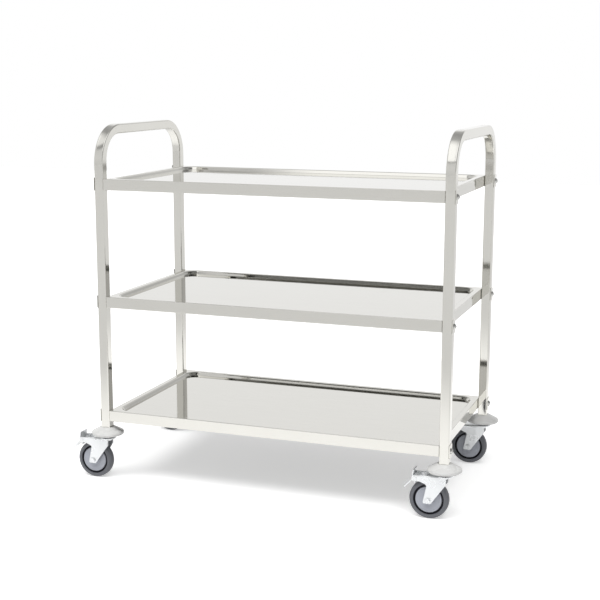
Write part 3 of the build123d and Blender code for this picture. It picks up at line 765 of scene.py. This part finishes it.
# The floor's colour is paler near the trolley and greyer far off: a painted pool of light, shown to the eye
# and in mirrors.
FLOOR_COLOUR, FLOOR_FAR_COLOUR = (0.95, 0.95, 0.95), (0.79, 0.79, 0.79)
EYE_GLOW, EYE_FAR_GLOW = 0.42, 0.55
MIRROR_GLOW, MIRROR_FAR_GLOW = 0.35, 0.03
COLOUR_FADE, EYE_FADE, MIRROR_FADE = (1.0, 1.9), (0.7, 3.0), (0.7, 1.9)


def by_distance(tree, near, far, low, high):
    """A value that goes smoothly from low to high between two distances from the trolley."""
    place = {0: object_space(tree)}
    distance = node(tree, "ShaderNodeVectorMath", place, operation="LENGTH").outputs["Value"]
    return fade(tree, distance, near, far, low, high)


def white_floor():
    """Pale matt floor that glows where it is seen: with the distance more for the eye, less in mirrors."""
    finish, tree, shader = new_finish("white_floor", FLOOR_COLOUR, 0.0, 0.9)
    shader.inputs["Emission Color"].default_value = (1, 1, 1, 1)
    # Painted pool of light: the floor's own colour goes from pale near the trolley to grey far off.
    away = by_distance(tree, *COLOUR_FADE, 0.0, 1.0)
    tree.links.new(tint(tree, away, FLOOR_COLOUR, FLOOR_FAR_COLOUR), shader.inputs["Base Color"])
    path = node(tree, "ShaderNodeLightPath").outputs
    mirrors = maths(tree, "MAXIMUM", path["Is Glossy Ray"], path["Is Transmission Ray"])
    in_mirrors = by_distance(tree, *MIRROR_FADE, MIRROR_GLOW, MIRROR_FAR_GLOW)
    to_eye = by_distance(tree, *EYE_FADE, EYE_GLOW, EYE_FAR_GLOW)
    shown = maths(tree, "MULTIPLY", mirrors, in_mirrors)
    glow = maths(tree, "MULTIPLY_ADD", path["Is Camera Ray"], to_eye, shown)
    tree.links.new(glow, shader.inputs["Emission Strength"])
    return finish


ground = np.array([[[-1, -1, 0], [1, -1, 0]], [[-1, 1, 0], [1, 1, 0]]], float) * FLOOR_HALF / MM
floor_mesh = mesh_of("studio_floor", [ground])
floor_mesh.materials.append(white_floor())
studio_floor = bpy.data.objects.new("studio_floor", floor_mesh)
bpy.context.scene.collection.objects.link(studio_floor)
print("floor", 2 * FLOOR_HALF, "m across")

# %% [markdown]
# ## Walls and lamps
# Polished steel shows the room more than itself. The camera sees plain white, but the metal sees a
# studio: pale walls, a soft box overhead in front with a dark frame round it, and a dimmer ceiling at
# the back. Two broad lamps in front, one on either side, throw the soft shadow behind the trolley.

# %% Studio walls and lamps
FRONT_WALL = ((0.0, 0.78), (0.30, 0.85), (0.60, 0.78), (0.655, 0.36), (0.70, 0.38), (0.76, 1.05),
              (0.90, 1.05))
FRONT_BOX = ((0.0, 0.78), (0.30, 0.85), (0.51, 0.78), (0.54, 0.30), (0.565, 0.40), (0.60, 1.40),
             (1.0, 1.40))
BACK_WALL = ((0.0, 1.0), (0.40, 1.0), (0.56, 0.55), (0.80, 0.40), (0.93, 0.52), (1.0, 0.55))
BOX_HALF, BOX_BLUR = 0.32, 0.06
BACK_FADE = (-0.10, 0.20)
RIGHT_DIM, RIGHT_FADE, RIGHT_RISE = 0.42, (0.22, 0.45), (0.04, 0.14)
WALL_LIGHT = 0.55
LAMP_STRENGTH, LAMP_SPREAD = 1.15, math.radians(32)
LAMP_TILT, LAMP_SIDE = math.radians(21), math.radians(17)


def wall_ramp(tree, height, stops):
    """Brightness by height, from 0 at the horizon to 1 overhead."""
    ramp = node(tree, "ShaderNodeValToRGB", {0: height})
    while len(ramp.color_ramp.elements) < len(stops):
        ramp.color_ramp.elements.new(0.5)
    for element, (place, level) in zip(ramp.color_ramp.elements, stops):
        element.position, element.color = place, (level, level, level, 1)
    return ramp.outputs[0]


def studio_world():
    """White for the camera; for other rays a front wall with the soft box and a back wall.

    The right of the room is dimmer above the horizon, and matt surfaces get part of the walls' light.
    """
    world = bpy.data.worlds.new("studio")
    world.use_nodes = True
    tree = world.node_tree
    tree.nodes.clear()
    ray = node(tree, "ShaderNodeTexCoord").outputs["Generated"]
    way = node(tree, "ShaderNodeSeparateXYZ", {0: ray}).outputs
    outside = fade(tree, maths(tree, "ABSOLUTE", way[0]), BOX_HALF, BOX_HALF + BOX_BLUR)
    front = node(tree, "ShaderNodeMix", {"Factor": outside}, data_type="RGBA")
    tree.links.new(wall_ramp(tree, way[2], FRONT_BOX), front.inputs[6])
    tree.links.new(wall_ramp(tree, way[2], FRONT_WALL), front.inputs[7])
    behind = fade(tree, way[1], *BACK_FADE, kind="LINEAR")
    walls = node(tree, "ShaderNodeMix", {"Factor": behind}, data_type="RGBA")
    tree.links.new(front.outputs[2], walls.inputs[6])
    tree.links.new(wall_ramp(tree, way[2], BACK_WALL), walls.inputs[7])
    dimmer = fade(tree, way[0], *RIGHT_FADE, 0.0, -RIGHT_DIM)
    raised = fade(tree, way[2], *RIGHT_RISE, kind="LINEAR")
    path = node(tree, "ShaderNodeLightPath").outputs
    matt = maths(tree, "MULTIPLY_ADD", path["Is Diffuse Ray"], WALL_LIGHT - 1.0, 1.0)
    level = maths(tree, "MULTIPLY", maths(tree, "MULTIPLY_ADD", dimmer, raised, 1.0), matt)
    room = node(tree, "ShaderNodeBackground", {"Color": walls.outputs[2], "Strength": level}).outputs[0]
    white = node(tree, "ShaderNodeBackground", {"Color": (1, 1, 1, 1), "Strength": 1.0}).outputs[0]
    seen = node(tree, "ShaderNodeMixShader", {0: path["Is Camera Ray"], 1: room, 2: white}).outputs[0]
    node(tree, "ShaderNodeOutputWorld", {"Surface": seen})
    return world


def soft_lamp(name, side):
    """A broad lamp far off in front that shines down from one side; mirrors show the walls instead."""
    light = bpy.data.lights.new(name, "SUN")
    light.energy, light.angle = LAMP_STRENGTH, LAMP_SPREAD
    lamp = bpy.data.objects.new(name, light)
    lamp.rotation_euler = (LAMP_TILT, side, 0)
    lamp.visible_glossy = False
    bpy.context.scene.collection.objects.link(lamp)


bpy.context.scene.world = studio_world()
soft_lamp("left_lamp", -LAMP_SIDE)
soft_lamp("right_lamp", LAMP_SIDE)
bpy.context.scene.view_settings.view_transform = "Standard"
print("studio ready")
